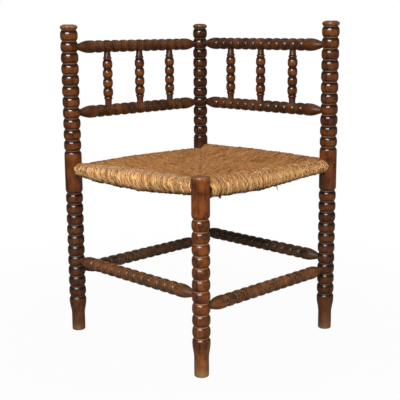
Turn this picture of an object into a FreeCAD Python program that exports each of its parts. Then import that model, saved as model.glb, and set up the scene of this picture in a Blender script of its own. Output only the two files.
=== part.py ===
"""Bobbin-turned corner chair with a woven rush seat.

Millimetres, +Z up. The origin is on the floor, midway between the four posts. The front post
stands towards -Y, the back post towards +Y, the left and right posts towards -X and +X.
Every turned piece is drawn with flat facets, so a diameter or radius is measured across corners.
"""
import FreeCAD
import Part
import os
from math import cos, pi, sin, sqrt

# Plan and heights of the frame
post_spacing = 436.0            # between the axes of two neighbouring posts
stretcher_low = 153.0           # axis of the front right and back left stretchers
stretcher_high = 180.0          # axis of the front left and back right stretchers
seat_rail_height = 411.0        # axis of the seat rails, but for the back left one
back_left_seat_rail_drop = 9.0  # how much lower the back left seat rail lies
back_rail_spacing = 156.0       # from the axis of a lower back rail up to that of its crest rail
left_back_rail_drop = 1.6       # how much lower the two rails on the left of the back lie

# Turned posts
post_height = 750.0             # left and back posts
right_post_rise = 5.0           # the right post stands a little prouder
front_post_rise = 27.0          # from the seat rails' axis to the top of the front post
crest_rail_drop = 51.4          # from the top of the back post down to the axis of the right crest rail
post_radius = 20.8              # crown of the beads on the left and right posts
back_post_radius = 18.9
front_post_radius = 19.9
post_groove_depth = 3.9
foot_radius = 16.1
foot_height = 41.0
foot_bevel = 2.5                # worn edge of the foot
foot_shoulder = 11.0            # full width between the swell of the foot and the first groove
bead_start = 88.0               # first groove above the foot
right_bead_start = 90.5
button_height = 12.5            # flat disc on top of a tall post
button_bevel = 2.5
bead_pitch = 26.0               # on posts, rails and stretchers
plain_below_seat = 55.0         # a post has no beads this far below the seat rails' axis
plain_above_seat = 30.0
bead_lip = 5.5                  # from a groove to the full width of its bead
plain_lip = 4.0                 # from a groove to the full width of a plain stretch

# Rails and stretchers
rail_radius = 15.2
stretcher_radius = 15.2
rail_groove_depth = 3.0
rail_swell = 38.0               # length over which an end swells from its tenon to full width
rail_tenon_radius = 6.2
seat_rail_radius = 9.0
seat_rail_tenon_radius = 6.5
seat_rail_shoulder = 30.0       # from the post's axis to the full width of a seat rail
tenon_clearance = 1.0           # between two tenons that meet at a right angle in a post

# Spindles
spindles_per_side = 3
beads_between_spindles = 4      # rail beads from one spindle to the next
spindle_radius = 12.3
spindle_groove_depth = 2.5
spindle_pitch = 22.8            # about the length of a bead; the beads fill the space between collars
collar_radius = 10.7
collar_length = 6.5
spindle_neck_length = 10.7
spindle_neck_radius = 8.6
spindle_neck_taper = 2.0        # length over which a neck swells from its tenon
spindle_tenon_radius = 5.0
spindle_tenon_length = 7.5

# Rush seat
seat_corner_swell = 6.0         # thickness of the rush round a rail beside a side or back post
front_corner_swell = 11.0       # the same beside the front post
seat_swell = 8.0                # what the rush gains along the front right rail
front_left_seat_swell = 6.0     # what it gains along the front left rail
back_seat_swell = 3.5           # what it gains along a back rail
front_left_sag = 5.0            # the front left roll hangs this much below its rail at the left post
front_left_lift = 4.5           # and rides this much above it at the front post
seat_dish = 23.0                # from the seat rails' axis down to the top of the worn middle
seat_middle_thickness = 17.0
seat_post_gap = 0.4
seat_start = 16.0               # the rush starts this far from a post's axis
seat_stations = 8               # lengths that each rail's roll of rush is drawn in

# Fits and facets
joint_gap = 0.1                 # glue line round a tenon
post_flats = 12
rail_flats = 10
spindle_flats = 8
roll_flats = 5                  # facets round the outer half of the rush roll

right_post_height = post_height + right_post_rise
front_post_height = seat_rail_height + front_post_rise
crest_rail_height = post_height - crest_rail_drop
widest_post = max(post_radius, back_post_radius, front_post_radius)
tenon_reach = max(rail_tenon_radius, seat_rail_tenon_radius) + tenon_clearance
seat_centre_top = seat_rail_height - seat_dish
seat_centre_bottom = seat_centre_top - seat_middle_thickness

up = FreeCAD.Vector(0, 0, 1)
half_diagonal = post_spacing / sqrt(2)
corners = {
    "left": FreeCAD.Vector(-half_diagonal, 0, 0),
    "back": FreeCAD.Vector(0, half_diagonal, 0),
    "right": FreeCAD.Vector(half_diagonal, 0, 0),
    "front": FreeCAD.Vector(0, -half_diagonal, 0),
}
sides = {
    "front_left": ("left", "front"),
    "front_right": ("right", "front"),
    "back_left": ("left", "back"),
    "back_right": ("right", "back"),
}


def ring(radius, height, flats):
    """Corners of a regular polygon about Z."""
    turn = 2 * pi / flats
    return [
        FreeCAD.Vector(radius * cos(i * turn), radius * sin(i * turn), height)
        for i in range(flats)
    ]


def facet(points):
    return Part.Face(Part.makePolygon(points + points[:1]))


def skin(rings, split=False):
    """Solid over a row of rings. Where its quads aren't flat, split makes two triangles of each."""
    faces = [facet(rings[0]), facet(rings[-1])]
    for low, high in zip(rings, rings[1:]):
        for i in range(len(low)):
            a, b, c, d = low[i - 1], low[i], high[i], high[i - 1]
            faces += [facet([a, b, c]), facet([a, c, d])] if split else [facet([a, b, c, d])]
    solid = Part.Solid(Part.Shell(faces))
    if solid.Volume < 0:
        solid.reverse()
    return solid


def turned(profile, flats):
    """Turned piece along Z from its profile of (radius, height) stations."""
    return skin([ring(radius, height, flats) for radius, height in profile])


def bead_run(start, count, pitch, crown, groove):
    """Stations of a run of beads, from the groove at start to the groove after the last bead."""
    stations = [(groove, start)]
    for i in range(count):
        low = start + i * pitch
        stations += [(crown, low + bead_lip), (crown, low + pitch - bead_lip), (groove, low + pitch)]
    return stations


def lower_run(start, crown):
    """The run of beads of a post from its foot up to the seat."""
    count = int((seat_rail_height - plain_below_seat - start) / bead_pitch)
    return bead_run(start, count, bead_pitch, crown, crown - post_groove_depth)


def post_foot(start, crown):
    """Worn foot, and the shoulder that swells above it to the first groove."""
    return [
        (foot_radius - foot_bevel, 0),
        (foot_radius, foot_bevel),
        (foot_radius, foot_height),
        (crown, start - foot_shoulder),
        (crown, start - bead_lip),
    ]


def tall_post(height, start, crown):
    """Post with beads below the seat, a plain stretch at the seat, beads above and a button."""
    lower = lower_run(start, crown)
    top_groove = height - button_height
    count = int((top_groove - seat_rail_height - plain_above_seat) / bead_pitch)
    groove = crown - post_groove_depth
    upper = bead_run(top_groove - count * bead_pitch, count, bead_pitch, crown, groove)
    plain = [(crown, lower[-1][1] + plain_lip), (crown, upper[0][1] - plain_lip)]
    button = [
        (crown, top_groove + plain_lip),
        (crown, height - button_bevel),
        (crown - button_bevel, height),
    ]
    return turned(post_foot(start, crown) + lower + plain + upper + button, post_flats)


def short_post(height, start, crown):
    """Front post: the same turning below a plain, flat top."""
    lower = lower_run(start, crown)
    plain = [(crown, lower[-1][1] + plain_lip), (crown, height)]
    return turned(post_foot(start, crown) + lower + plain, post_flats)


def far_end(stations, length):
    """The other end of a piece that is as long as length and the same both ways."""
    return [(radius, length - height) for radius, height in reversed(stations)]


def beaded_rail(crown):
    """Rail drawn from one post's axis to the next: tenon, swelling end, beads, and the same back."""
    room = post_spacing - 2 * (widest_post + rail_swell + bead_lip)
    count = int(room / bead_pitch)
    first_groove = (post_spacing - count * bead_pitch) / 2
    gain = crown - rail_tenon_radius
    end = [(rail_tenon_radius, tenon_reach), (rail_tenon_radius, widest_post)]
    for share in (1 / 3, 2 / 3, 1):
        end.append((rail_tenon_radius + gain * sin(share * pi / 2), widest_post + share * rail_swell))
    end.append((crown, first_groove - bead_lip))
    run = bead_run(first_groove, count, bead_pitch, crown, crown - rail_groove_depth)
    return turned(end + run + far_end(end, post_spacing), rail_flats)


def seat_rail():
    """Plain rail under the rush, shaved down to a tenon at each end."""
    end = [
        (seat_rail_tenon_radius, tenon_reach),
        (seat_rail_tenon_radius, widest_post),
        (seat_rail_radius, seat_rail_shoulder),
    ]
    return turned(end + far_end(end, post_spacing), rail_flats)


def spindle():
    """Spindle drawn up from the lower rail's axis: tenon, neck, collar, beads, collar, neck, tenon."""
    groove = spindle_radius - spindle_groove_depth
    neck_start = rail_radius
    collar_start = neck_start + spindle_neck_length
    run_start = collar_start + collar_length
    room = back_rail_spacing - 2 * run_start
    count = max(1, round(room / spindle_pitch))
    end = [
        (spindle_tenon_radius, rail_radius - spindle_tenon_length),
        (spindle_tenon_radius, neck_start),
        (spindle_neck_radius, neck_start + spindle_neck_taper),
        (spindle_neck_radius, collar_start),
        (collar_radius, collar_start + collar_length / 3),
        (collar_radius, run_start - collar_length / 3),
    ]
    run = bead_run(run_start, count, room / count, spindle_radius, groove)
    return turned(end + run + far_end(end, back_rail_spacing), spindle_flats)


def along(side, height):
    """Placement that lays a piece drawn up Z along a side, from its first post's axis."""
    start, finish = (corners[name] for name in sides[side])
    run = (finish - start).normalize()
    turn = FreeCAD.Rotation(up.cross(run), up, run, "ZYX")
    return FreeCAD.Placement(start + up * height, turn)


def placed(shape, placement):
    moved = shape.copy()
    moved.Placement = placement
    return moved


def upright(shape, place):
    return placed(shape, FreeCAD.Placement(place, FreeCAD.Rotation()))


def tenon_sockets(radius):
    """Sockets round both tenons of a rail, drawn as the rail is; each tenon's end meets its socket."""
    outside = 2 * widest_post
    ends = ((tenon_reach, outside), (post_spacing - outside, post_spacing - tenon_reach))
    grown = radius + joint_gap
    return [turned([(grown, low), (grown, high)], rail_flats) for low, high in ends]


def spindle_places(side):
    """Points on the floor plan where a side's spindles stand, from the side post to the back post."""
    start, finish = (corners[name] for name in sides[side])
    run = (finish - start).normalize()
    middle = (start + finish) / 2
    step = beads_between_spindles * bead_pitch
    return [
        middle + run * step * (i - (spindles_per_side - 1) / 2) for i in range(spindles_per_side)
    ]


def spindle_socket(place, rail_height, towards):
    """Socket in a back rail for a spindle that comes from above (towards 1) or below (-1)."""
    grown = spindle_tenon_radius + joint_gap
    bottom = rail_radius - spindle_tenon_length
    low, high = sorted((towards * bottom, towards * 2 * rail_radius))
    socket = turned([(grown, low), (grown, high)], spindle_flats)
    return upright(socket, place + up * rail_height)


def back_rail_levels(hand):
    """Heights of the lower rail and the crest rail on one hand of the back."""
    crest = crest_rail_height - (left_back_rail_drop if hand == "left" else 0)
    return crest - back_rail_spacing, crest


def seat_rail_level(side):
    return seat_rail_height - (back_left_seat_rail_drop if side == "back_left" else 0)


def corner_swell(corner):
    return front_corner_swell if corner == "front" else seat_corner_swell


def roll_radius(side, share):
    """Radius of the rush roll, at a share of the way from a side's first post to its second."""
    near, far = (corner_swell(name) for name in sides[side])
    gains = {"front_left": front_left_seat_swell, "front_right": seat_swell}
    hump = sin(pi * share ** 1.5) if side == "front_right" else sin(pi * share)
    return seat_rail_radius + near + (far - near) * share + gains.get(side, back_seat_swell) * hump


def roll_centre(side, share):
    """How far the middle of the rush roll lies above its rail's axis."""
    if side != "front_left":
        return 0
    return (front_left_sag + front_left_lift) * share ** 3 - front_left_sag


def mitre_level(corner, inward, sign):
    """Height of the seat on the diagonal from a post to the middle, on top (sign 1) or below (-1)."""
    levels = [seat_rail_level(side) for side in sides if corner in sides[side]]
    outer = sum(levels) / len(levels) + sign * (seat_rail_radius + corner_swell(corner))
    centre = seat_centre_top if sign > 0 else seat_centre_bottom
    return outer + (centre - outer) * inward / (post_spacing / 2)


def seat_quarter(side):
    """One of the seat's four triangles, with the roll of rush round its own rail."""
    sections = []
    for station in range(seat_stations + 1):
        height = seat_start + (post_spacing - 2 * seat_start) * station / seat_stations
        share = height / post_spacing
        radius = roll_radius(side, share)
        middle = roll_centre(side, share)
        inward = min(height, post_spacing - height)
        corner = sides[side][0] if share < 0.5 else sides[side][1]
        level = seat_rail_level(side)
        section = [FreeCAD.Vector(inward, mitre_level(corner, inward, 1) - level, height)]
        for i in range(roll_flats + 1):
            angle = pi * i / roll_flats
            section.append(FreeCAD.Vector(-radius * sin(angle), middle + radius * cos(angle), height))
        section.append(FreeCAD.Vector(inward, mitre_level(corner, inward, -1) - level, height))
        sections.append(section)
    quarter = skin(sections, split=True)
    if up.cross(corners[sides[side][1]] - corners[sides[side][0]]).dot(corners[sides[side][0]]) > 0:
        quarter = quarter.mirror(FreeCAD.Vector(), FreeCAD.Vector(1, 0, 0))
    return placed(quarter, along(side, seat_rail_level(side)))


def rush_seat(rails):
    """The woven seat: four quarters meeting on the diagonals, round the rails and between the posts."""
    quarters = [seat_quarter(side) for side in sides]
    seat = quarters[0].fuse(quarters[1:])
    notches = []
    for corner, place in corners.items():
        radius = {"back": back_post_radius, "front": front_post_radius}.get(corner, post_radius)
        grown = radius + seat_post_gap
        notches.append(upright(turned([(grown, 0), (grown, post_height)], post_flats), place))
    return seat.cut(notches + rails)


def posts():
    """The four posts by name, standing at the corners and not yet bored."""
    shapes = {
        "left": tall_post(post_height, bead_start, post_radius),
        "back": tall_post(post_height, bead_start, back_post_radius),
        "right": tall_post(right_post_height, right_bead_start, post_radius),
        "front": short_post(front_post_height, bead_start, front_post_radius),
    }
    return {corner + "_post": upright(shape, corners[corner]) for corner, shape in shapes.items()}


def cross_pieces():
    """Name, side, height, shape and tenon radius of each piece that runs from post to post."""
    found = []
    for side in sides:
        level = stretcher_high if side in ("front_left", "back_right") else stretcher_low
        found.append((side + "_stretcher", side, level, beaded_rail(stretcher_radius), rail_tenon_radius))
        level = seat_rail_level(side)
        found.append((side + "_seat_rail", side, level, seat_rail(), seat_rail_tenon_radius))
    for hand in ("left", "right"):
        for kind, level in zip(("_lower_rail", "_crest_rail"), back_rail_levels(hand)):
            found.append((hand + kind, "back_" + hand, level, beaded_rail(rail_radius), rail_tenon_radius))
    return found


def build():
    """All pieces of the chair by name. Sockets are gathered first and bored last."""
    pieces = posts()
    sockets = {name: [] for name in pieces}

    for name, side, level, shape, tenon_radius in cross_pieces():
        placement = along(side, level)
        pieces[name] = placed(shape, placement)
        for corner, socket in zip(sides[side], tenon_sockets(tenon_radius)):
            sockets[corner + "_post"].append(placed(socket, placement))

    for hand in ("left", "right"):
        lower, crest = hand + "_lower_rail", hand + "_crest_rail"
        lower_level, crest_level = back_rail_levels(hand)
        for number, place in enumerate(spindle_places("back_" + hand), 1):
            name = hand + "_spindle_" + str(number)
            pieces[name] = upright(spindle(), place + up * lower_level)
            sockets.setdefault(lower, []).append(spindle_socket(place, lower_level, 1))
            sockets.setdefault(crest, []).append(spindle_socket(place, crest_level, -1))

    for name, tools in sockets.items():
        pieces[name] = pieces[name].cut(tools)
    pieces["rush_seat"] = rush_seat([pieces[side + "_seat_rail"] for side in sides])
    return pieces


os.makedirs("parts", exist_ok=True)
for name, shape in build().items():
    solid = shape.Solids[0]
    solid.exportStep("parts/" + name + ".step")
    print(name, "faces", len(solid.Faces), "volume", round(solid.Volume), "valid", solid.isValid())
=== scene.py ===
import bpy
import random
from bisect import bisect_right
from math import acos, atan2, cos, exp, hypot, pi, radians, sin
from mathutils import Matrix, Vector, noise


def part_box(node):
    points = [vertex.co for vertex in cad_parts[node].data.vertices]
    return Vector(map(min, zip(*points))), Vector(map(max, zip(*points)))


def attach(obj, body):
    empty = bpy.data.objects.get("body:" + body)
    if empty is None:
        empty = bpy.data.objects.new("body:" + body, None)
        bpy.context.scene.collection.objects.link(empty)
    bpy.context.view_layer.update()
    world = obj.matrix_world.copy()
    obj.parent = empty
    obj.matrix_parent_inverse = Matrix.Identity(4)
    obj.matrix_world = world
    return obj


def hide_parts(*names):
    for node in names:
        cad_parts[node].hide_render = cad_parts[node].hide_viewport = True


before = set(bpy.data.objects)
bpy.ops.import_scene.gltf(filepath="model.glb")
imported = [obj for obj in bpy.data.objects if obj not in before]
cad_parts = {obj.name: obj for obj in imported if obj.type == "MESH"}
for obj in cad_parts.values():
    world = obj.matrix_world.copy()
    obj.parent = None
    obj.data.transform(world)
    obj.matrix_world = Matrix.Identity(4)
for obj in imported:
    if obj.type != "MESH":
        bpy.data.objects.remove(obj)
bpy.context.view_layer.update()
print("frame loaded:", len(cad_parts), "pieces")


# Camera, matched to the grooves of the four posts
cameraView = {
    "place": (0.00357, -2.10962, 0.74645),
    "turn": (78.766, 0.369, 0.078),       # degrees about X, Y and Z
    "lens": 79.27,                        # millimetres, on a sensor 36 wide
}
bpy.ops.object.camera_add(
    location=cameraView["place"],
    rotation=[radians(angle) for angle in cameraView["turn"]],
)
camera = bpy.context.object
camera.name = "camera"
camera.data.lens = cameraView["lens"]
camera.data.sensor_width = 36
bpy.context.scene.camera = camera
bpy.context.scene.view_settings.view_transform = "Standard"
print("camera placed")


# One socket of a material. Arithmetic with it makes Math nodes.
class Wire:
    def __init__(self, tree, socket=None):
        self.tree = tree
        self.socket = socket

    def node(self, kind, settings={}, inputs={}, output=0):
        made = self.tree.nodes.new(kind)
        for key, value in settings.items():
            setattr(made, key, value)
        for key, value in inputs.items():
            if isinstance(value, Wire):
                self.tree.links.new(value.socket, made.inputs[key])
            else:
                made.inputs[key].default_value = value
        return Wire(self.tree, made.outputs[output])

    def maths(self, operation, first, second):
        return self.node("ShaderNodeMath", {"operation": operation}, {0: first, 1: second})

    def __add__(self, other):
        return self.maths("ADD", self, other)

    __radd__ = __add__

    def __mul__(self, other):
        return self.maths("MULTIPLY", self, other)

    def __rsub__(self, other):
        return self.maths("SUBTRACT", other, self)

    def most(self, other):
        return self.maths("MAXIMUM", self, other)

    def between(self, low, high):         # 0 below low, 1 above high, smooth from one to the other
        limits = {"Value": self, "From Min": low, "From Max": high}
        return self.node("ShaderNodeMapRange", {"interpolation_type": "SMOOTHSTEP"}, limits)

    def stretch(self, x, y, z):
        return self.node("ShaderNodeVectorMath", {"operation": "MULTIPLY"}, {0: self, 1: (x, y, z)})

    def noise(self, scale, detail, roughness=0.5):
        values = {"Vector": self, "Scale": scale, "Detail": detail, "Roughness": roughness}
        return self.node("ShaderNodeTexNoise", {}, values)

    def mix(self, first, second):         # colours: the first where this is 0, the second where it is 1
        return self.node("ShaderNodeMix", {"data_type": "RGBA"}, {0: self, 6: first, 7: second}, 2)

    def bump(self, strength, distance):
        values = {"Height": self, "Strength": strength, "Distance": distance}
        return self.node("ShaderNodeBump", {}, values)

    def into(self, shader, name):
        self.tree.links.new(self.socket, shader.inputs[name])


def newMaterial(name):
    material = bpy.data.materials.new(name)
    material.use_nodes = True
    return material, Wire(material.node_tree), material.node_tree.nodes["Principled BSDF"]


def attribute(wire, name, output="Fac"):
    return wire.node("ShaderNodeAttribute", {"attribute_name": name}, output=output)


# Stained and varnished wood, off the lathe. "grain" holds a point of the piece as it stood on the
# lathe, "bead" runs from 0 in a groove to 1 on the crown of a bead or a plain stretch, "rise" from
# -1 at one groove of a bead, over 0 on its crown, to 1 at the next, and the last attribute from 0 up:
# wear on the posts, a darker end on the rails and stretchers, painted shadow on the spindle necks.
# "shade" is where in "rise" the wood starts to darken towards a groove, where it is darkest, and how
# dark: patina in the hollows, and a wider painted shade where "rise" is above 0, the top of a post's
# beads; "mottle" is how blotchy it is, and the last key how much painted shadow of the seat darkens
# the wood low down.
woodLooks = {
    "sidePosts": {
        "crown": (0.22, 0.06, 0.009, 1), "deep": (0.06, 0.017, 0.004, 1),
        "corner": (0.008, 0.004, 0.003, 1), "line": (0.24, 0.12, 0.05, 1),
        "worn": (0.34, 0.165, 0.058, 1), "roughness": 0.2,
        "shade": (0.12, 0.62, 0.9), "mottle": 0.15, "seatShadow": 0.3,
    },
    "backPost": {
        "crown": (0.105, 0.03, 0.006, 1), "deep": (0.04, 0.012, 0.003, 1),
        "corner": (0.006, 0.003, 0.003, 1), "line": (0.17, 0.09, 0.04, 1),
        "worn": (0.4, 0.15, 0.04, 1), "roughness": 0.2,
        "shade": (0.12, 0.62, 0.9), "mottle": 0.15, "seatShadow": 0.3,
    },
    "frontPost": {
        "crown": (0.3, 0.078, 0.01, 1), "deep": (0.075, 0.02, 0.005, 1),
        "corner": (0.025, 0.008, 0.004, 1), "line": (0.46, 0.2, 0.06, 1),
        "worn": (0.34, 0.18, 0.06, 1), "roughness": 0.2,
        "shade": (0.25, 0.95, 0.65), "mottle": 0.75, "seatShadow": 0,
    },
    "turnedBack": {
        "crown": (0.155, 0.05, 0.013, 1), "deep": (0.05, 0.016, 0.005, 1),
        "corner": (0.008, 0.004, 0.003, 1), "line": (0.09, 0.05, 0.03, 1),
        "worn": (0.045, 0.016, 0.007, 1), "roughness": 0.2,
        "shade": (0.4, 0.85, 0.92), "mottle": 0.3, "seatShadow": 0,
    },
    # the spindles' worn colour is dark: a painted shadow of the rails on their necks
    "spindles": {
        "crown": (0.22, 0.06, 0.01, 1), "deep": (0.08, 0.022, 0.005, 1),
        "corner": (0.008, 0.004, 0.003, 1), "line": (0.02, 0.01, 0.006, 1),
        "worn": (0.045, 0.016, 0.007, 1), "roughness": 0.2,
        "shade": (0.15, 0.7, 0.85), "mottle": 0.3, "seatShadow": 0,
    },
    "turnedStretchers": {
        "crown": (0.27, 0.09, 0.023, 1), "deep": (0.09, 0.032, 0.01, 1),
        "corner": (0.018, 0.008, 0.005, 1), "line": (0.2, 0.12, 0.07, 1),
        "worn": (0.13, 0.05, 0.016, 1), "roughness": 0.22,
        "shade": (0.5, 0.9, 0.85), "mottle": 0.4, "seatShadow": 0,
    },
    # a darker copy of the stretcher wood for the back stretchers: painted shadow of the seat
    "backStretchers": {
        "crown": (0.17, 0.07, 0.023, 1), "deep": (0.06, 0.027, 0.01, 1),
        "corner": (0.012, 0.007, 0.005, 1), "line": (0.17, 0.11, 0.07, 1),
        "worn": (0.09, 0.04, 0.016, 1), "roughness": 0.26,
        "shade": (0.5, 0.9, 0.85), "mottle": 0.4, "seatShadow": 0,
    },
}
woodMarks = {                             # how many there are in a metre
    "fibres": 300,
    "rings": 260,
    "patches": 42,
    "streaks": 85,
    "mottle": 70,
    "specks": 420,
    "scuffs": 330,
}
varnish = {
    "shine": 0.4,
    "relief": (0.12, 0.0005),             # strength and height of the bumps
    "seatShadowHeight": (0.22, 0.42),          # above the floor: painted shadow of the seat and rougher varnish up to the first, none from the second
}


def turnedWood(name, look):
    material, wire, surface = newMaterial(name)
    marks = woodMarks
    place = attribute(wire, "grain", "Vector")
    bead = attribute(wire, "bead")
    rise = attribute(wire, "rise")
    wearAndShade = attribute(wire, "wearAndShade")
    stands = wire.node("ShaderNodeTexCoord", output="Object")
    height = wire.node("ShaderNodeSeparateXYZ", {}, {0: stands}, "Z")

    fibres = place.stretch(1, 1, 0.05).noise(marks["fibres"], 4, 0.6)
    rings = place.stretch(0.25, 0.25, 1).noise(marks["rings"], 3, 0.6)
    patches = place.stretch(1, 1, 0.8).noise(marks["patches"], 3, 0.6)
    streaks = place.stretch(1, 1, 0.15).noise(marks["streaks"], 3, 0.65).between(0.54, 0.7)
    mottle = place.stretch(1, 1, 0.35).noise(marks["mottle"], 4, 0.7).between(0.5, 0.66)
    specks = place.stretch(1, 1, 0.7).noise(marks["specks"], 1).between(0.66, 0.74)
    scuffs = place.stretch(1, 1, 0.6).noise(marks["scuffs"], 3, 0.7)

    stain = (patches * 0.8 + fibres * 0.3 + rings * 0.2).between(0.46, 0.82)
    colour = stain.mix(look["deep"], look["crown"])
    colour = (streaks * 0.65).mix(colour, look["corner"])
    colour = (mottle * look["mottle"]).mix(colour, look["corner"])
    shadeStart, shadeEnd, shadeDepth = look["shade"]
    # darker towards the grooves: patina in the hollows, and painted shade over the upper half of each bead
    corner = rise.between(shadeStart, shadeEnd).most((rise * -1).between(0.5, 0.95))
    colour = (corner * (shadeDepth - 0.15 + patches * 0.3)).mix(colour, look["corner"])
    # a line of its own colour in each groove; the pale one on the posts is partly wax and wear, partly a
    # painted highlight where the shoulder below a groove catches the light from above
    line = 1 - bead.between(0.06, 0.16)
    colour = (line * (patches * 0.7 + 0.35)).mix(colour, look["line"])
    # worn colour where the wear value rises: wear on the posts' feet, buttons and tops, a darker end on the
    # rails and stretchers, and on the spindle necks a painted shadow of the rails
    worn = wearAndShade * (fibres * 0.4 + patches * 0.6 + scuffs * 0.6).between(0.5, 0.98) * 1.15
    colour = worn.mix(colour, look["worn"])
    colour = (specks * 0.4).mix(colour, look["corner"])
    # painted shadow of the seat: darker low down on the posts under it
    low = 1 - height.between(*varnish["seatShadowHeight"])
    colour = (low * look["seatShadow"]).mix(colour, look["corner"])
    colour.into(surface, "Base Color")

    rough = patches * 0.14 + (look["roughness"] - 0.07) + wearAndShade * 0.25 + line * 0.3 + low * 0.1
    rough.into(surface, "Roughness")
    relief = fibres * 0.2 + rings * 0.3 + streaks * -0.3 + specks * -0.6 + patches * 0.5
    relief.bump(*varnish["relief"]).into(surface, "Normal")
    surface.inputs["Specular IOR Level"].default_value = varnish["shine"]
    return material


def plainWood(name, light, dark):
    material, wire, surface = newMaterial(name)
    place = attribute(wire, "grain", "Vector")
    fibres = place.stretch(1, 1, 0.04).noise(woodMarks["fibres"], 4, 0.6)
    fibres.between(0.3, 0.7).mix(dark, light).into(surface, "Base Color")
    (fibres * 0.2 + 0.6).into(surface, "Roughness")
    fibres.bump(0.3, 0.0005).into(surface, "Normal")
    return material


materials = {name: turnedWood(name, look) for name, look in woodLooks.items()}
materials["hiddenRails"] = plainWood("hiddenRails", (0.36, 0.23, 0.12, 1), (0.2, 0.11, 0.05, 1))
print("wood finished")


# Lathe work. A profile is a list of (radius, height, bead, wear and darkening) from the foot of a piece up.
lathe = {
    "beadSteps": 12,
    "lipSteps": 6,
    "lipRoundness": 2.4,
    "smoothBelow": 42,                    # degrees; a sharper edge keeps its crease
    "weld": 0.00001,                      # points nearer than this become one
}


def selectOnly(piece):
    bpy.ops.object.select_all(action="DESELECT")
    piece.select_set(True)
    bpy.context.view_layer.objects.active = piece


def turnPiece(name, profile, around):
    bpy.ops.object.select_all(action="DESELECT")
    bpy.ops.mesh.primitive_plane_add(size=0.001, location=(0, 0, 0))
    piece = bpy.context.object
    piece.name = name
    piece.data.name = name
    bpy.ops.object.mode_set(mode="EDIT")
    bpy.ops.mesh.select_all(action="SELECT")
    bpy.ops.mesh.merge(type="CENTER")
    here = (0, profile[0][1])
    bpy.ops.transform.translate(value=(0, 0, here[1]))
    for radius, height, *_ in profile + [(0, profile[-1][1], 1, 0)]:
        step = (radius - here[0], 0, height - here[1])
        bpy.ops.mesh.extrude_region_move(TRANSFORM_OT_translate={"value": step})
        here = (radius, height)
    bpy.ops.mesh.select_all(action="SELECT")
    bpy.ops.mesh.spin(steps=around, angle=2 * pi, center=(0, 0, 0), axis=(0, 0, 1))
    bpy.ops.mesh.select_all(action="SELECT")
    bpy.ops.mesh.remove_doubles(threshold=lathe["weld"])
    bpy.ops.mesh.normals_make_consistent(inside=False)
    bpy.ops.object.mode_set(mode="OBJECT")
    bpy.ops.object.shade_smooth_by_angle(angle=radians(lathe["smoothBelow"]))
    markProfile(piece, profile)
    return piece


def markProfile(piece, profile):          # writes the bead, rise, and wear and darkening of the profile onto the mesh
    heights = [height for _, height, _, _ in profile]
    mesh = piece.data
    for key in ("bead", "rise", "wearAndShade"):
        mesh.attributes.new(key, "FLOAT", "POINT")
    bead, rise, wearAndShade = (mesh.attributes[key].data for key in ("bead", "rise", "wearAndShade"))
    for vertex in mesh.vertices:
        above = min(max(bisect_right(heights, vertex.co.z), 1), len(profile) - 1)
        low, high = profile[above - 1], profile[above]
        share = min(max((vertex.co.z - low[1]) / max(high[1] - low[1], 1e-6), 0), 1)
        crown = low[2] + (high[2] - low[2]) * share
        bead[vertex.index].value = crown
        rise[vertex.index].value = (1 - crown) * (1 if high[2] < low[2] else -1)
        wearAndShade[vertex.index].value = low[3] + (high[3] - low[3]) * share


def keepGrain(piece, shift):              # remembers where each point was on the lathe
    grain = piece.data.attributes.new("grain", "FLOAT_VECTOR", "POINT")
    for vertex in piece.data.vertices:
        grain.data[vertex.index].vector = vertex.co + shift


def roundSteps(steps, first=0):           # shares of a rounded stretch, and how near its ends they are
    for step in range(first, steps + 1):
        share = (1 - cos(pi * step / steps)) / 2
        yield share, abs(2 * share - 1)


def beadStations(form, start, count, crown):
    stations = []
    for i in range(count):
        for share, across in roundSteps(lathe["beadSteps"], min(i, 1)):
            radius = crown - form["grooveDepth"] * across ** form["roundness"]
            stations.append((radius, start + (i + share) * form["beadPitch"], 1 - across, 0))
    return stations


def softLip(form, crown, start, towards):     # from a groove up (1) or down (-1) to a plain stretch
    groove = crown - form["grooveDepth"]
    stations = []
    for step in range(1, lathe["lipSteps"] + 1):
        share = step / lathe["lipSteps"]
        radius = groove + (crown - groove) * (1 - (1 - share) ** lathe["lipRoundness"])
        stations.append((radius, start + towards * form["lip"] * share, share, 0))
    return stations if towards > 0 else stations[::-1]


def fromFarEnd(stations, length):
    return [(radius, length - height, bead, wearAndShade) for radius, height, bead, wearAndShade in reversed(stations)]


def finishPiece(piece, node, material):
    piece.data.materials.clear()
    piece.data.materials.append(material)
    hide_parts(node)
    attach(piece, "root")


def placedCopy(model, name, start, run):
    piece = bpy.data.objects.new(name, model.data.copy())
    bpy.context.collection.objects.link(piece)
    keepGrain(piece, up * chance.uniform(0, 3))
    piece.location = start
    piece.rotation_mode = "QUATERNION"
    piece.rotation_quaternion = up.rotation_difference(run)
    selectOnly(piece)
    bpy.ops.object.transform_apply(location=True, rotation=True, scale=True)
    return piece


def middle(node):
    low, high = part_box(node)
    return (low + high) / 2


chance = random.Random(5)
up = Vector((0, 0, 1))
corners = {name: middle(name + "_post").xy.to_3d() for name in ("left", "back", "right", "front")}
sides = {
    "front_left": ("left", "front"),
    "front_right": ("right", "front"),
    "back_left": ("left", "back"),
    "back_right": ("right", "back"),
}
spacing = (corners["left"] - corners["back"]).length


def sideFrame(side):                      # a side's first corner, the way along it and the way inwards
    first, second = (corners[name] for name in sides[side])
    return first, (second - first).normalized(), -((first + second) / 2).normalized()


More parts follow.
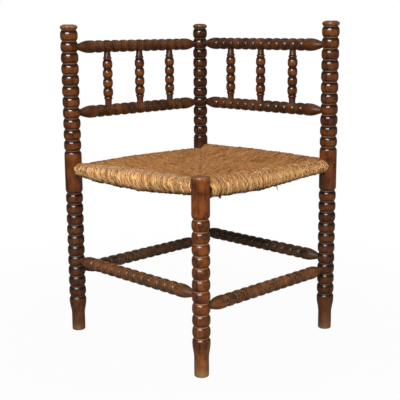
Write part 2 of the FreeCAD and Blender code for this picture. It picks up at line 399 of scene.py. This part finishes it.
# Posts
post = {
    "around": 56,
    "beadPitch": 0.026,
    "grooveDepth": 0.0042,
    "roundness": 3.0,
    "lowerBeads": 10,
    "upperBeads": 11,
    "firstGroove": {"left": 0.088, "back": 0.088, "right": 0.0905, "front": 0.088},
    "lip": 0.01,
    "footRadius": 0.0161,
    "footHeight": 0.041,
    "footEdge": 0.0025,
    "footEdgeWear": 1.2,
    "footWear": ((1.005, 0.25, 0.8), (1.01, 0.5, 0.35)),   # shares of foot radius and height, wear
    "shoulder": 0.011,                    # from the top of the foot's swelling to the first groove
    "shoulderWear": 0.15,
    "button": 0.0125,
    "buttonRound": 0.009,
    "buttonRoundness": 2.4,
    "buttonWear": 0.4,
    "frontTop": 0.009,                    # the front post starts to be worn this far below its top
    "frontTopEdge": ((0, 0.0022), (0.0006, 0.0007), (0.0022, 0)),   # in from the side, down from the top
    "frontTopWear": 0.35,
}


def footProfile(crown, swellTop):
    p = post
    profile = [(p["footRadius"] - p["footEdge"], 0, 1, p["footEdgeWear"])]
    edgeSteps = 4
    for step in range(1, edgeSteps + 1):
        turn = step / edgeSteps * pi / 2
        radius = p["footRadius"] - p["footEdge"] * (1 - sin(turn))
        profile.append((radius, p["footEdge"] * (1 - cos(turn)), 1, p["footEdgeWear"]))
    for width, height, wearAndShade in p["footWear"]:
        profile.append((p["footRadius"] * width, p["footHeight"] * height, 1, wearAndShade))
    swellSteps = 8
    for step in range(swellSteps + 1):
        share = step / swellSteps
        radius = p["footRadius"] + (crown - p["footRadius"]) * (1 - cos(pi * share)) / 2
        height = p["footHeight"] + (swellTop - p["footHeight"]) * share
        profile.append((radius, height, 1, p["shoulderWear"] * (1 - share)))
    return profile


def postProfile(corner, crown, height):
    p = post
    buttonSteps = 14
    start = p["firstGroove"][corner]
    beads = beadStations(p, start, p["lowerBeads"], crown)
    profile = footProfile(crown, start - p["shoulder"])
    profile += softLip(p, crown, start, -1) + beads + softLip(p, crown, beads[-1][1], 1)
    if corner == "front":
        profile.append((crown, height - p["frontTop"], 1, 0))
        for radius, drop in p["frontTopEdge"]:
            profile.append((crown - radius, height - drop, 1, p["frontTopWear"]))
        return profile
    top = height - p["button"]
    start = top - p["upperBeads"] * p["beadPitch"]
    profile += softLip(p, crown, start, -1) + beadStations(p, start, p["upperBeads"], crown)
    for share, across in roundSteps(buttonSteps, 1):
        depth = p["grooveDepth"] if share < 0.5 else p["buttonRound"]
        radius = crown - depth * across ** p["buttonRoundness"]
        profile.append((radius, top + p["button"] * share, min(1, share * 4), p["buttonWear"]))
    return profile


for corner, foot in corners.items():
    low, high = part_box(corner + "_post")
    profile = postProfile(corner, (high.x - low.x) / 2, high.z)
    model = turnPiece("turned_" + corner + "_post", profile, post["around"])
    piece = placedCopy(model, corner + "_post_turned", foot, up)
    bpy.data.objects.remove(model)
    wood = {"front": "frontPost", "back": "backPost"}.get(corner, "sidePosts")
    finishPiece(piece, corner + "_post", materials[wood])
print("posts turned")


# Rails, stretchers and spindles
rail = {
    "around": 44,
    "beadPitch": 0.026,
    "beads": 11,
    "grooveDepth": 0.0034,
    "roundness": 2.5,
    "lip": 0.009,
    "swell": 0.038,                       # length of the swelling end
    "swellRoundness": 1.15,
    # how much darker and rougher the swelling end is at the post, and how that fades
    "swellDarkening": 0.6,
    "swellDarkeningFade": 1.5,
    "tenonRadius": 0.0062,
    "tenonEnd": 0.0078,                   # from a post's axis
    "postRadius": 0.0208,
    "darkeningIntoPost": 0.002,                # the darkening starts this far inside the post
    "railRadius": 0.0152,
    "stretcherRadius": 0.0152,
}
spindle = {
    "around": 36,
    "beadPitch": 0.0228,
    "beads": 4,
    "radius": 0.0123,
    "grooveDepth": 0.0034,
    "roundness": 2.7,
    "collarRadius": 0.0107,
    "collar": 0.0065,
    "collarRoundness": 2.2,
    "collarFoot": 0.98,                   # of the neck's radius
    "neckRadius": 0.0086,
    "neckFoot": 0.93,                     # of its radius, and how much of it the neck gains on its way up
    "neckGain": 0.09,
    "neckGainFade": 1.5,
    # how much painted shadow of the rail darkens the spindle neck; it also roughens the varnish there
    "neckShadow": 0.9,
    "neck": 0.0107,
    "neckIntoRail": 0.0014,               # the neck starts this far inside the rail
    "tenonIntoRail": 0.0016,              # and the tenon ends
    "tenonRadius": 0.005,
    "tenon": 0.0075,
    "tenonGap": 0.0003,                   # at the bottom of the socket
}
hiddenRail = {
    "around": 24,
    "radius": 0.009,
    "tenonRadius": 0.0065,
    "shoulder": 0.030,                    # from a post's axis to the full width
}


def railProfile(crown):
    r = rail
    firstGroove = (spacing - r["beads"] * r["beadPitch"]) / 2
    tenon = r["tenonRadius"]
    end = [(tenon, r["tenonEnd"], 1, 0), (tenon, r["postRadius"] - r["darkeningIntoPost"], 1, 0)]
    swellSteps = 12
    for step in range(swellSteps + 1):
        share = step / swellSteps
        radius = tenon + (crown - tenon) * sin(share * pi / 2) ** r["swellRoundness"]
        wearAndShade = r["swellDarkening"] * (1 - share ** r["swellDarkeningFade"])
        end.append((radius, r["postRadius"] + share * r["swell"], 1, wearAndShade))
    end += softLip(r, crown, firstGroove, -1)
    return end + beadStations(r, firstGroove, r["beads"], crown) + fromFarEnd(end, spacing)


def spindleProfile(length):
    s = spindle
    neckStart = rail["railRadius"]
    collarStart = neckStart + s["neck"]
    runStart = collarStart + s["collar"]
    end = [
        (s["tenonRadius"], neckStart - s["tenon"] + s["tenonGap"], 1, 0),
        (s["tenonRadius"], neckStart - s["tenonIntoRail"], 1, 0),
    ]
    neckSteps, collarSteps = 8, 10
    for step in range(neckSteps + 1):
        share = step / neckSteps
        radius = s["neckRadius"] * (s["neckFoot"] + s["neckGain"] * share ** s["neckGainFade"])
        height = neckStart - s["neckIntoRail"] + (s["neck"] + s["neckIntoRail"]) * share
        end.append((radius, height, 1, s["neckShadow"]))
    for share, across in roundSteps(collarSteps):
        base = s["neckRadius"] * s["collarFoot"] if share < 0.5 else s["radius"] - s["grooveDepth"]
        radius = base + (s["collarRadius"] - base) * (1 - across ** s["collarRoundness"])
        end.append((radius, collarStart + s["collar"] * share, 1 - across, 0))
    return end + beadStations(s, runStart, s["beads"], s["radius"]) + fromFarEnd(end, length)


def hiddenRailProfile():
    tenon = hiddenRail["tenonRadius"]
    end = [
        (tenon, rail["tenonEnd"], 1, 0),
        (tenon, rail["postRadius"], 1, 0),
        (hiddenRail["radius"], hiddenRail["shoulder"], 1, 0),
    ]
    return end + fromFarEnd(end, spacing)


def placeRail(model, node, side, material):
    start, run, _ = sideFrame(side)
    piece = placedCopy(model, node + "_turned", start + up * middle(node).z, run)
    finishPiece(piece, node, material)


railModel = turnPiece("railModel", railProfile(rail["railRadius"]), rail["around"])
stretcherModel = turnPiece("stretcherModel", railProfile(rail["stretcherRadius"]), rail["around"])
backHeight = middle("left_crest_rail").z - middle("left_lower_rail").z
spindleModel = turnPiece("spindleModel", spindleProfile(backHeight), spindle["around"])
hiddenModel = turnPiece("hiddenModel", hiddenRailProfile(), hiddenRail["around"])

for side in sides:
    wood = materials["backStretchers" if side.startswith("back") else "turnedStretchers"]
    placeRail(stretcherModel, side + "_stretcher", side, wood)
    placeRail(hiddenModel, side + "_seat_rail", side, materials["hiddenRails"])

for hand in ("left", "right"):
    for kind in ("_crest_rail", "_lower_rail"):
        placeRail(railModel, hand + kind, "back_" + hand, materials["turnedBack"])
    for number in (1, 2, 3):
        node = hand + "_spindle_" + str(number)
        start = middle(node)
        start.z = middle(hand + "_lower_rail").z
        piece = placedCopy(spindleModel, node + "_turned", start, up)
        finishPiece(piece, node, materials["spindles"])

for model in (railModel, stretcherModel, spindleModel, hiddenModel):
    bpy.data.objects.remove(model)
print("rails, stretchers and spindles turned")


# Rush seat: one wrap of rush after another over the four rails, out to the mitres on top and below
rushSeat = {
    "cornerSwell": 0.006,                 # thickness of the rush round a rail beside a post
    "frontCornerSwell": 0.011,
    "swell": {"front_left": 0.006, "front_right": 0.0053, "back_left": 0.0035, "back_right": 0.0035},
    "rightSwellShift": 1.5,               # over 1, the front right roll is thickest nearer to the front post
    "sag": 0.005,                         # the front left roll hangs this much at the left post
    "rideUp": 0.006,                      # and rides this much above its rail by the front post
    "sagCurve": 3,
    "slack": 0.0027,                      # how far the front right roll hangs below its rail
    "narrowLeft": (0.0048, 0.06),         # the front left roll is thinner by the left post: depth and reach
    "narrowFront": (0.003, 0.12),         # the same by the front post
    "centreTop": 0.388,
    "centreBottom": 0.371,
    "mitreDive": 0.0028,                  # how deep the wraps go down between each other at a mitre
    "mitreSteepness": 6,                  # they are up again after one sixth of their flat run
    "start": 0.0235,                      # first wrap, from the axis of a post
    "pitch": 0.005,
    "strandRadius": 0.0029,
    "lobes": 2,                           # bulges round a strand, and how high they are, of its radius
    "lobeHeight": 0.24,
    "around": 9,
    "flatSteps": 7,
    "rollSteps": 16,
    # how far the wraps stand off their roll, how far its outside leans along the side, and by how much
    # of a turn the dull colour of the crest reaches further out
    "lift": {"front_left": 0, "front_right": -0.0008, "back_left": -0.0018, "back_right": 0.0006},
    "lean": {"front_left": 0.01, "front_right": -0.005, "back_left": 0, "back_right": 0},
    "crestFade": {"front_left": 0, "front_right": 0.045, "back_left": 0, "back_right": 0},
    "spread": 0.009,                      # how far the outside of a roll crowds up to its posts
    "farSpread": 1.6,                     # how much more it does so at its second post
    "spreadReach": 0.03,
    "dustSheenAndShadowFrom": 0.03,                     # the front left crest has its dust, painted sheen and painted crease shadow from here on
    "dustSheenAndShadowFade": (0.06, 0.05),             # and fades over these lengths at its two ends
    "stuffingShrink": 0.0055,
    "stuffingDrop": 0.0015,
}
unevenness = {                            # of the winding; a wave is its number in a metre and its height
    "thickness": (0.75, 1.2),             # of a whole wrap, least and most
    "thinnest": 0.75,                     # along a wrap
    "thickening": 0.5,
    "thickeningPace": (0.4, 300),         # from point to point of a wrap, and in a metre along the rail
    "endThickness": 0.6,
    "rise": (45, 0.0016),
    "jump": 0.0009,                       # from one wrap to the next
    "back": 0.45,                         # how much of the rise and jump the back sides have
    "slump": (22, 0.0015),                # of the underside
    "lean": (14, 0.008),
    "leanJump": 0.0022,
    "leanUpright": 0.3,                   # where it stands straight: how high on the roll, of its radius
    "clump": 0.019,                       # strands crowd together once in this length
    "clumpDrift": 12,
    "clumpShift": 0.0011,
    "curl": 0.0014,
    "curlShare": (0.3, 1.4),
    "curlTurn": 1.25,                     # radians from point to point
    "wander": 0.0012,
    "wanderPace": (0.5, 900),
    "wanderUp": 0.4,
    "twist": (220, 420),                  # radians in a metre
    "tint": 0.9,
}
looseFibres = {
    "count": {"front_left": 300, "front_right": 300, "back_left": 70, "back_right": 70},
    "radius": 0.00048,
    "around": 3,
    "steps": 7,
    "share": (0.06, 0.95),                # of the side
    "frontFrom": 95,                      # degrees round the roll, 90 on top and 180 outermost
    "backFrom": 160,
    "upTo": 215,
    "turn": (10, 55),
    "drift": 0.007,
    "bow": 0.004,
    "sunk": 0.0002,
    "height": (0.0004, 0.0018),
    "free": 0.25,                         # share of them with one end loose
    "freeHeight": 1.6,                    # how much higher those stand, how they curve, and how they thin out
    "freeCurve": 1.5,
    "freeThinning": 0.6,
    "tint": 1.4,
}
hangingEnds = {
    "ends": (                             # side, share of it, degrees round the roll, length, radius, colour
        ("front_right", 0.447, 262, 0.012, 0.0015, "straw"),
        ("front_right", 0.885, 254, 0.003, 0.004, "dark"),
    ),
    "straw": (0.5, 0.3),                  # "outer" and "tint" of a colour
    # the dark end takes the underside colour, with its painted shade
    "dark": (0.75, 0),
    "taper": ((0, 1), (0.3, 1), (0.6, 0.8), (0.85, 0.55), (1, 0.2)),   # shares of the length and radius
    "root": 0.006,                        # how far inside the roll they start
    "lean": 0.002,
    "around": 7,
}


def cornerSwell(corner):
    return rushSeat["frontCornerSwell" if corner == "front" else "cornerSwell"]


def rollHump(side, share):                # 0 at both posts, 1 where the roll is thickest
    shift = rushSeat["rightSwellShift"] if side == "front_right" else 1
    return sin(pi * share ** shift)


def rollRadius(side, share):
    near, far = (cornerSwell(name) for name in sides[side])
    rush = near + (far - near) * share + rushSeat["swell"][side] * rollHump(side, share)
    if side == "front_left":
        depth, reach = rushSeat["narrowLeft"]
        rush -= depth * exp(-share / reach)
        depth, reach = rushSeat["narrowFront"]
        rush -= depth * exp((share - 1) / reach)
    return hiddenRail["radius"] + rush


def rollLevel(side, share):               # height of the middle of a roll
    level = middle(side + "_seat_rail").z
    if side == "front_left":
        level += (rushSeat["sag"] + rushSeat["rideUp"]) * share ** rushSeat["sagCurve"] - rushSeat["sag"]
    if side == "front_right":
        level -= rushSeat["slack"] * rollHump(side, share)
    return level


def mitreLevel(corner, inward, sign):     # height of a corner's mitre, on top (1) or below (-1)
    levels = [middle(side + "_seat_rail").z for side in sides if corner in sides[side]]
    outer = sum(levels) / len(levels) + sign * (hiddenRail["radius"] + cornerSwell(corner))
    centre = rushSeat["centreTop" if sign > 0 else "centreBottom"]
    return outer + (centre - outer) * inward / (spacing / 2)


def flatRun(inward, level, roll, angle, dive):     # from the mitre out to where the roll begins
    run = []
    for step in range(rushSeat["flatSteps"]):
        along = step / rushSeat["flatSteps"]
        x = inward + (roll * cos(angle) - inward) * along
        y = level + (roll * sin(angle) - level) * along
        run.append((x, y - dive * max(0, 1 - along * rushSeat["mitreSteepness"]), angle))
    return run


def wrapPath(side, station, lift, radius):         # points (inward, up, angle that faces out)
    share = station / spacing
    corner = sides[side][0] if share < 0.5 else sides[side][1]
    inward = min(station, spacing - station)
    roll = rollRadius(side, share) - radius + lift
    level = rollLevel(side, share)
    top = mitreLevel(corner, inward, 1) - level - radius
    bottom = mitreLevel(corner, inward, -1) - level + radius
    leave = atan2(top, inward) + acos(min(roll / hypot(inward, top), 1))
    meet = 2 * pi + atan2(bottom, inward) - acos(min(roll / hypot(inward, bottom), 1))
    path = flatRun(inward, top, roll, leave, rushSeat["mitreDive"])
    for step in range(rushSeat["rollSteps"] + 1):
        angle = leave + (meet - leave) * step / rushSeat["rollSteps"]
        path.append((roll * cos(angle), roll * sin(angle), angle))
    return path + flatRun(inward, bottom, roll, meet, -rushSeat["mitreDive"])[::-1]


# Strands of one mesh. Of each point it keeps "fibre": how far along its strand, how far round it, and
# where on the rail; "tint" of its strand; how much dust and painted sheen its crest has, and painted
# shadow the crease behind it; "outer": its way round the roll, 0.25 on the crest, 0.5 outermost, 0.75
# below, less than 0.2 on the flat top and 0.8 on the flat underside; and "proud": 1 on the outside of a
# strand.
class Sweep:
    def __init__(self):
        self.points, self.faces = [], []
        self.fibre, self.tint, self.outer, self.proud, self.dustSheenAndShadow = [], [], [], [], []

    def strand(self, path, facing, radii, outer, place, around, lobes=0, twist=0, tint=1, dustSheenAndShadow=0):
        slant = Vector((0.31, 0.17, 0.93))     # along no strand
        first = len(self.points)
        length = 0
        for i, point in enumerate(path):
            ahead, behind = path[min(i + 1, len(path) - 1)], path[max(i - 1, 0)]
            along = (ahead - behind).normalized()
            side = along.cross(slant).normalized()
            other = along.cross(side)
            length += (point - path[i - 1]).length if i else 0
            for j in range(around):
                turn = 2 * pi * j / around
                swell = 1 + rushSeat["lobeHeight"] * cos(lobes * turn + twist * length) if lobes else 1
                reach = side * cos(turn) + other * sin(turn)
                self.points.append(point + reach * radii[i] * swell)
                self.fibre.append((length, turn, place))
                self.tint.append(tint)
                self.dustSheenAndShadow.append(dustSheenAndShadow)
                self.outer.append(outer[i])
                self.proud.append(reach.dot(facing[i]))
        for i in range(len(path) - 1):
            for j in range(around):
                a = first + i * around + j
                b = first + i * around + (j + 1) % around
                self.faces.append((a, b, b + around, a + around))
        self.faces.append([first + j for j in range(around)][::-1])
        self.faces.append([first + (len(path) - 1) * around + j for j in range(around)])

    def piece(self, name):
        mesh = bpy.data.meshes.new(name)
        mesh.from_pydata(self.points, [], self.faces)
        fibre = mesh.attributes.new("fibre", "FLOAT_VECTOR", "POINT")
        fibre.data.foreach_set("vector", [value for row in self.fibre for value in row])
        for key in ("tint", "outer", "proud", "dustSheenAndShadow"):
            mesh.attributes.new(key, "FLOAT", "POINT").data.foreach_set("value", getattr(self, key))
        piece = bpy.data.objects.new(name, mesh)
        bpy.context.collection.objects.link(piece)
        selectOnly(piece)
        bpy.ops.object.mode_set(mode="EDIT")
        bpy.ops.mesh.select_all(action="SELECT")
        bpy.ops.mesh.normals_make_consistent(inside=False)
        bpy.ops.object.mode_set(mode="OBJECT")
        bpy.ops.object.shade_smooth()
        return piece


def softNoise(x, seed):
    return noise.noise(Vector((x, seed, 0.5)))


def wave(kind, station, seed):            # along the rail
    scale, height = unevenness[kind]
    return softNoise(station * scale, seed) * height


def strandNoise(kind, step, station, seed):     # along a strand
    perStep, perMetre = unevenness[kind]
    return softNoise(step * perStep + station * perMetre, seed)


def dustSheenAndShadowOn(side, station):                # 1 along the front left roll, 0 near its posts and elsewhere
    if side != "front_left":
        return 0
    fadeIn, fadeOut = rushSeat["dustSheenAndShadowFade"]
    return min(1, max(0, (station - rushSeat["dustSheenAndShadowFrom"]) / fadeIn), max(0, (spacing - station) / fadeOut))


def layWraps(sweep, side, seed):
    r, u = rushSeat, unevenness
    start, run, inwards = sideFrame(side)
    front = side.startswith("front")
    count = int((spacing - 2 * r["start"]) / r["pitch"])
    for i in range(count + 1):
        station = r["start"] + (spacing - 2 * r["start"]) * i / count
        base = start + up * rollLevel(side, station / spacing)
        radius = r["strandRadius"] * chance.uniform(*u["thickness"])
        lift = wave("rise", station, seed) + chance.uniform(-u["jump"], u["jump"])
        lift = lift * (1 if front else u["back"]) + r["lift"][side]
        sag = max(0, wave("slump", station, seed + 6)) if front else 0
        lean = wave("lean", station, seed + 9) + r["lean"][side]
        lean += chance.uniform(-u["leanJump"], u["leanJump"])
        clump = station / u["clump"] + softNoise(station * u["clumpDrift"], seed + 4)
        gather = -sin(2 * pi * clump) * u["clumpShift"]
        phase = chance.uniform(0, 2 * pi)
        curl = u["curl"] * chance.uniform(*u["curlShare"])
        farSpread = r["farSpread"] * exp((station - spacing) / r["spreadReach"])
        spread = r["spread"] * (farSpread - exp(-station / r["spreadReach"]))
        points, facing, radii, outer = [], [], [], []
        for step, (x, y, angle) in enumerate(wrapPath(side, station, lift, radius)):
            turn = atan2(y, x) % (2 * pi)
            onRail = x < hiddenRail["radius"]
            bulk = max(0, -cos(turn)) if x < 0 else 0
            shift = lean * bulk * (u["leanUpright"] - sin(turn)) + (gather + spread) * bulk
            wander = strandNoise("wanderPace", step, station, seed) * u["wander"]
            wander += sin(step * u["curlTurn"] + phase) * curl * bulk
            drop = sag * max(0, -sin(turn)) if onRail else 0
            rise = up * (y + wander * u["wanderUp"] - drop)
            points.append(base + run * (station + shift + wander) + inwards * x + rise)
            facing.append(inwards * cos(angle) + up * sin(angle))
            thickening = u["thickening"] * abs(strandNoise("thickeningPace", step, station, seed + 2))
            radii.append(radius * (u["thinnest"] + thickening))
            onRoll = angle / (2 * pi) - r["crestFade"][side] * (y > 0)
            if onRail:
                outer.append(onRoll)
            else:
                outer.append(0.2 - min(x, 0.19) if onRoll < 0.5 else 0.8)
        radii[0] = radii[-1] = radius * u["endThickness"]
        sweep.strand(
            points, facing, radii, outer, station + seed, r["around"], r["lobes"],
            chance.uniform(*u["twist"]), chance.random() * u["tint"], dustSheenAndShadowOn(side, station))


def layFibres(sweep, side, seed):         # thin broken fibres that curl off a roll
    f = looseFibres
    start, run, inwards = sideFrame(side)
    lowest = f["frontFrom" if side.startswith("front") else "backFrom"]
    for _ in range(f["count"][side]):
        share = chance.uniform(*f["share"])
        angle = radians(chance.uniform(lowest, f["upTo"]))
        turned = radians(chance.uniform(*f["turn"])) * chance.choice((-1, 1))
        drift = chance.uniform(-f["drift"], f["drift"])
        bow = chance.uniform(-f["bow"], f["bow"])
        height = chance.uniform(*f["height"])
        free = chance.random() < f["free"]
        base = start + up * rollLevel(side, share) + run * share * spacing
        points, facing, radii = [], [], []
        for step in range(f["steps"] + 1):
            along = step / f["steps"]
            turn = angle + turned * along
            off = height * (along ** f["freeCurve"] * f["freeHeight"] if free else sin(pi * along))
            out = inwards * cos(turn) + up * sin(turn)
            sideways = drift * along + bow * sin(pi * along)
            points.append(base + run * sideways + out * (rollRadius(side, share) + off - f["sunk"]))
            facing.append(out)
            radii.append(f["radius"] * (1 - f["freeThinning"] * along if free else 1))
        outer = [0.5] * len(points)
        sweep.strand(points, facing, radii, outer, share + seed, f["around"], tint=f["tint"])


def layHangingEnds(sweep):
    h = hangingEnds
    for side, share, degrees, length, radius, colour in h["ends"]:
        start, run, inwards = sideFrame(side)
        angle = radians(degrees)
        out = inwards * cos(angle) + up * sin(angle)
        base = start + up * rollLevel(side, share) + run * share * spacing
        base += out * rollRadius(side, share)
        path, radii = [], []
        for along, width in h["taper"]:
            path.append(base + Vector((h["lean"] * along, 0, h["root"] - (length + h["root"]) * along)))
            radii.append(radius * width)
        facing = [-inwards] * len(path)
        outer, tint = h[colour]
        sweep.strand(path, facing, radii, [outer] * len(path), share, h["around"], tint=tint)


rushMarks = {                             # per metre along a strand, radian round it and metre of rail
    "blades": (110, 1.2, 400),
    "streaks": (80, 0.1, 190),
    "fine": (240, 3, 400),
    "ticks": (0, 0, 260),
}
rushColours = {                           # dark and pale, or one colour
    "straw": ((0.45, 0.145, 0.025, 1), (1.0, 0.61, 0.255, 1)),
    "aged": ((0.15, 0.058, 0.014, 1), (0.48, 0.215, 0.066, 1)),
    "under": ((0.1, 0.04, 0.014, 1), (0.28, 0.13, 0.05, 1)),
    "stuffing": ((0.2, 0.075, 0.018, 1), (0.42, 0.19, 0.055, 1)),
    "dustAndSheen": (0.37, 0.21, 0.125, 1),
    "paleSpeck": (0.85, 0.58, 0.32, 1),
    "darkSpeck": (0.12, 0.06, 0.025, 1),
    "gapShade": (0.13, 0.045, 0.011, 1),
    "creaseShadow": (0.05, 0.02, 0.007, 1),
}


def rushFinish(name):
    material, wire, surface = newMaterial(name)
    fibre = attribute(wire, "fibre", "Vector")
    tint = attribute(wire, "tint")
    outer = attribute(wire, "outer")
    proud = attribute(wire, "proud")
    dustSheenAndShadow = attribute(wire, "dustSheenAndShadow")
    blades = fibre.stretch(*rushMarks["blades"]).noise(1, 3, 0.65)
    streaks = fibre.stretch(*rushMarks["streaks"]).noise(1, 3, 0.65)
    fine = fibre.stretch(*rushMarks["fine"]).noise(1, 3, 0.6)
    ticks = fibre.stretch(*rushMarks["ticks"]).noise(1, 1)
    place = wire.node("ShaderNodeTexCoord", output="Object")
    patches = place.noise(22, 3, 0.6)
    specks = place.noise(330, 2, 0.6)

    # paler on the outside of each strand: painted highlight
    straw = (tint * 0.55 + blades * 0.6 + fine * 0.4 + proud * 0.3).between(0.5, 1.32)
    straw = straw.mix(*rushColours["straw"])
    aged = (tint * 0.12 + streaks * 0.8 + fine * 0.5 + patches * 0.2).between(0.55, 1.05)
    aged = aged.mix(*rushColours["aged"])
    # greyer and paler on the front left crest: dust, partly a painted sheen of the light from above
    dustAndSheen = dustSheenAndShadow * outer.between(0.2, 0.235) * (1 - outer.between(0.33, 0.4))
    aged = (dustAndSheen * (patches * 0.4 + 0.6)).mix(aged, rushColours["dustAndSheen"])
    # darker under the rolls and the seat: painted shade
    under = (tint * 0.6 + blades * 0.5).between(0.3, 0.9).mix(*rushColours["under"])

    colour = outer.between(0.31, 0.43).mix(aged, straw)
    colour = outer.between(0.56, 0.66).mix(colour, under)
    colour = (specks.between(0.6, 0.68) * 0.5).mix(colour, rushColours["paleSpeck"])
    colour = ((1 - specks).between(0.6, 0.68) * 0.55).mix(colour, rushColours["darkSpeck"])
    # darker on the inner side of each strand, down in the gaps: painted shade
    colour = ((1 - proud.between(-0.1, 0.6)) * 0.85).mix(colour, rushColours["gapShade"])
    # painted shadow in ticks along the crease behind the front left roll
    behindRoll = outer.between(0.172, 0.182) * (1 - outer.between(0.196, 0.203))
    creaseShadow = dustSheenAndShadow * behindRoll * ticks.between(0.46, 0.54)
    colour = (creaseShadow * 0.85).mix(colour, rushColours["creaseShadow"])
    colour.into(surface, "Base Color")
    (blades * 0.3 + 0.48).into(surface, "Roughness")
    (blades * 0.6 + fine * 0.5).bump(0.6, 0.0008).into(surface, "Normal")
    surface.inputs["Specular IOR Level"].default_value = 0.2
    return material


def stuffingFinish(name):
    material, wire, surface = newMaterial(name)
    lumps = wire.node("ShaderNodeTexCoord", output="Object").noise(180, 3, 0.6)
    lumps.between(0.3, 0.7).mix(*rushColours["stuffing"]).into(surface, "Base Color")
    lumps.bump(0.8, 0.002).into(surface, "Normal")
    surface.inputs["Roughness"].default_value = 0.9
    return material


materials["rush"] = rushFinish("rush")
materials["stuffing"] = stuffingFinish("stuffing")

wraps, fibres = Sweep(), Sweep()
for number, side in enumerate(sides):
    seed = number * 31.7 + 2.3
    layWraps(wraps, side, seed)
    layFibres(fibres, side, seed)
piece = wraps.piece("rush_wraps")
finishPiece(piece, "rush_seat", materials["rush"])
layHangingEnds(fibres)
piece = fibres.piece("rush_fibres")
piece.data.materials.append(materials["rush"])
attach(piece, "root")

stuffing = bpy.data.objects.new("rush_stuffing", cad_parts["rush_seat"].data.copy())
bpy.context.collection.objects.link(stuffing)
selectOnly(stuffing)
bpy.ops.object.mode_set(mode="EDIT")
bpy.ops.mesh.select_all(action="SELECT")
bpy.ops.mesh.remove_doubles(threshold=0.0001)
bpy.ops.transform.shrink_fatten(value=-rushSeat["stuffingShrink"])
bpy.ops.transform.translate(value=(0, 0, -rushSeat["stuffingDrop"]))
bpy.ops.object.mode_set(mode="OBJECT")
stuffing.data.materials.clear()
stuffing.data.materials.append(materials["stuffing"])
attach(stuffing, "root")
print("rush wound:", len(wraps.faces), "faces")


# Floor, backdrop and lamps
studio = {
    "floorSize": 14,
    "keyPlace": (-0.45, -2.3, 1.65), "keySize": (0.85, 0.85), "keyPower": 43,
    "topPlace": (-0.3, -0.7, 2.6), "topSize": (1.2, 1.2), "topPower": 33,
    "sidePlace": (1.7, -2.1, 0.9), "sideSize": (1.4, 1.4), "sidePower": 21,
    "behindPlace": (0.7, 2.4, 1.3), "behindSize": (1.4, 1.4), "behindPower": 40,
    "glintPlace": (-0.75, -2.25, 1.6), "glintSize": (1.8, 0.65), "glintPower": 110,
    "aim": (0, 0, 0.38),
    "sky": 0.08,                          # what the wood and the rush are lit by all round
    "mirrored": 0.1,                      # how much of the white backdrop the varnish mirrors
    "floorTone": 0.2,                     # how much light the floor throws back up
    "floorClear": 0.97,                   # share of plain white near the chair; the rest shows its shadow
    "floorClearReach": (0.35, 1.3),       # distances where the floor starts to be whiter, and is all white
}


def whereSeen(wire):                      # 1 for what the camera sees, less for what the varnish mirrors
    seen = wire.node("ShaderNodeLightPath", output="Is Camera Ray")
    seen = seen.most(wire.node("ShaderNodeLightPath", output="Is Transmission Ray"))
    return seen.most(wire.node("ShaderNodeLightPath", output="Is Glossy Ray") * studio["mirrored"])


def floorFinish():
    material, wire, surface = newMaterial("paleFloor")
    tone = studio["floorTone"]
    surface.inputs["Base Color"].default_value = (tone, tone, tone, 1)
    surface.inputs["Roughness"].default_value = 0.8
    surface.inputs["Specular IOR Level"].default_value = 0.1
    bright = wire.node("ShaderNodeEmission", {}, {"Color": (1, 1, 1, 1), "Strength": 1.0})
    place = wire.node("ShaderNodeTexCoord", output="Object")
    away = wire.node("ShaderNodeVectorMath", {"operation": "LENGTH"}, {0: place}, "Value")
    clear = studio["floorClear"] + away.between(*studio["floorClearReach"]) * (1 - studio["floorClear"])
    shown = wire.node("ShaderNodeMixShader", {}, {0: whereSeen(wire) * clear, 2: bright})
    wire.tree.links.new(surface.outputs[0], shown.socket.node.inputs[1])
    shown.into(material.node_tree.nodes["Material Output"], "Surface")
    return material


def lamp(name, onlyGlints):               # only the varnish sees the glint, and it sees no other lamp
    place = studio[name + "Place"]
    bpy.ops.object.light_add(type="AREA", location=place)
    light = bpy.context.object
    light.name = name
    light.data.shape = "RECTANGLE"
    light.data.size, light.data.size_y = studio[name + "Size"]
    light.data.energy = studio[name + "Power"]
    light.visible_glossy = onlyGlints
    light.visible_diffuse = not onlyGlints
    light.rotation_euler = (Vector(studio["aim"]) - Vector(place)).to_track_quat("-Z", "Y").to_euler()


bpy.ops.object.select_all(action="DESELECT")
bpy.ops.mesh.primitive_plane_add(size=studio["floorSize"], location=(0, 0, 0))
floor = bpy.context.object
floor.name = "floor"
floor.data.materials.append(floorFinish())

for name in ("key", "top", "side", "behind"):
    lamp(name, onlyGlints=False)
lamp("glint", onlyGlints=True)

world = bpy.data.worlds.new("studio")
world.use_nodes = True
bpy.context.scene.world = world
wire = Wire(world.node_tree)
level = studio["sky"]
colour = whereSeen(wire).mix((level, level, level, 1), (1, 1, 1, 1))
colour.into(world.node_tree.nodes["Background"], "Color")
print("studio lit")
